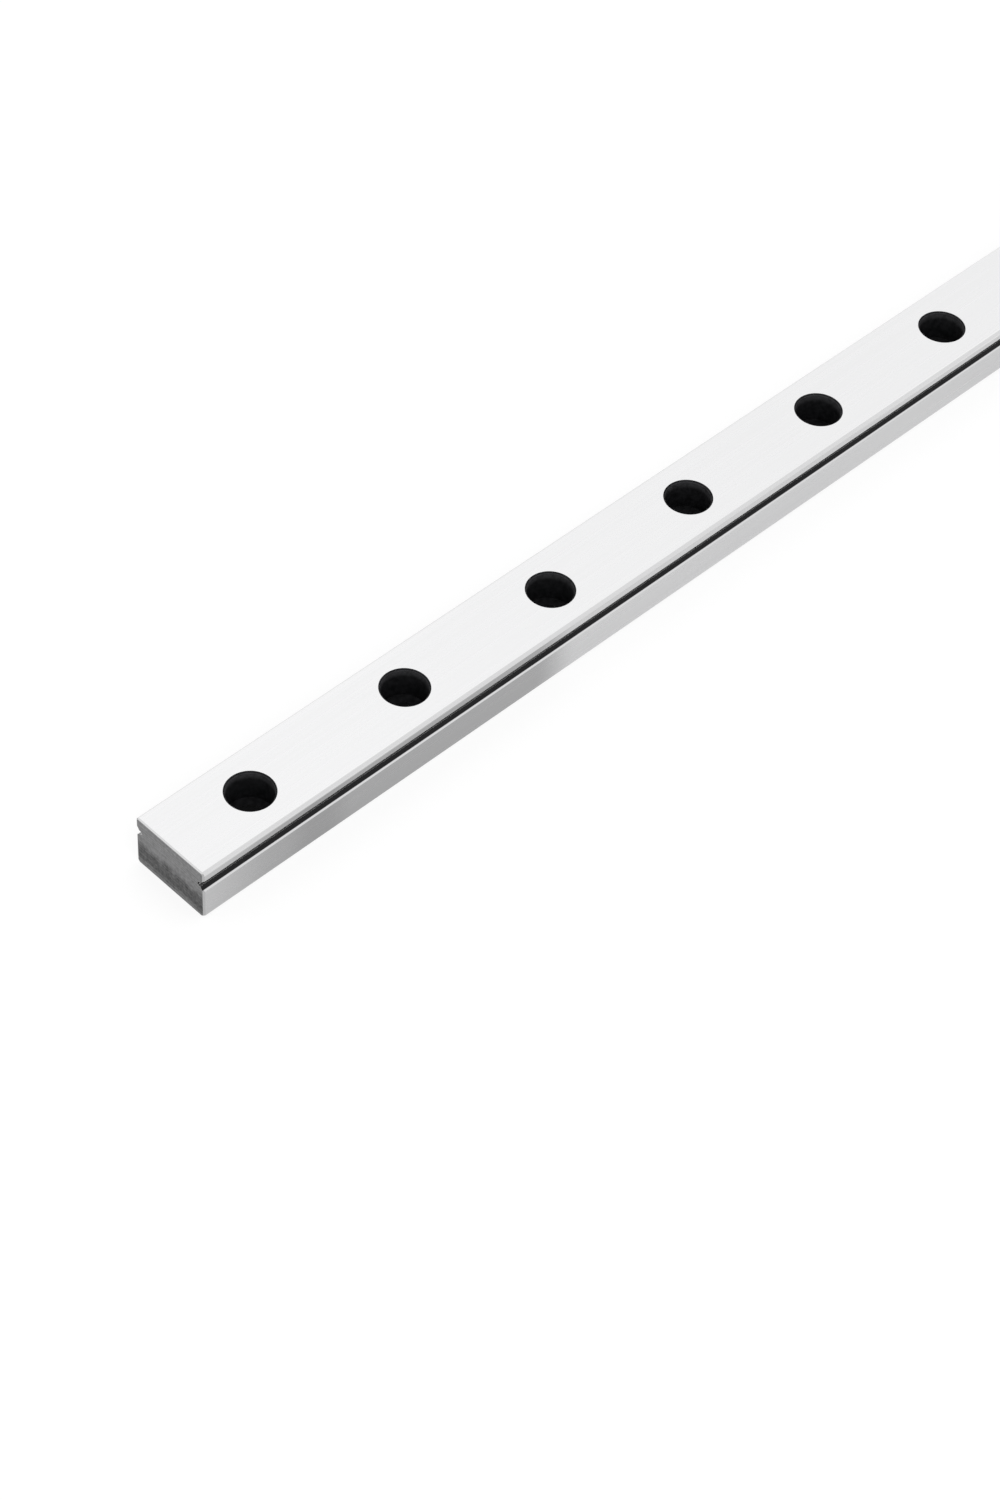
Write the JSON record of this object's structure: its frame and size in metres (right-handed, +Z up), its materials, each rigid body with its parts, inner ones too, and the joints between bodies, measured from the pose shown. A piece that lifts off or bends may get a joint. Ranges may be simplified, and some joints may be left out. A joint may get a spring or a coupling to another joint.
{
  "type": "profile linear guide rail",
  "caption": "Straight steel guide rail with a gothic-arch ball track along each side and a row of counterbored screw holes, on which a ball carriage slides.",
  "frame": {"origin": "middle of the ground underside, half way along the rail and half way across it", "axes": "+X along the rail, +Y across it, +Z up, out of the top face with the screw head seats"},
  "size_m": [0.3, 0.012, 0.008],
  "materials": {
    "ground_steel": "fine ground hardened steel, bright, with dark unground holes and relief slots"
  },
  "bodies": {
    "root": {"guide_rail": "ground_steel"}
  },
  "joints": []
}
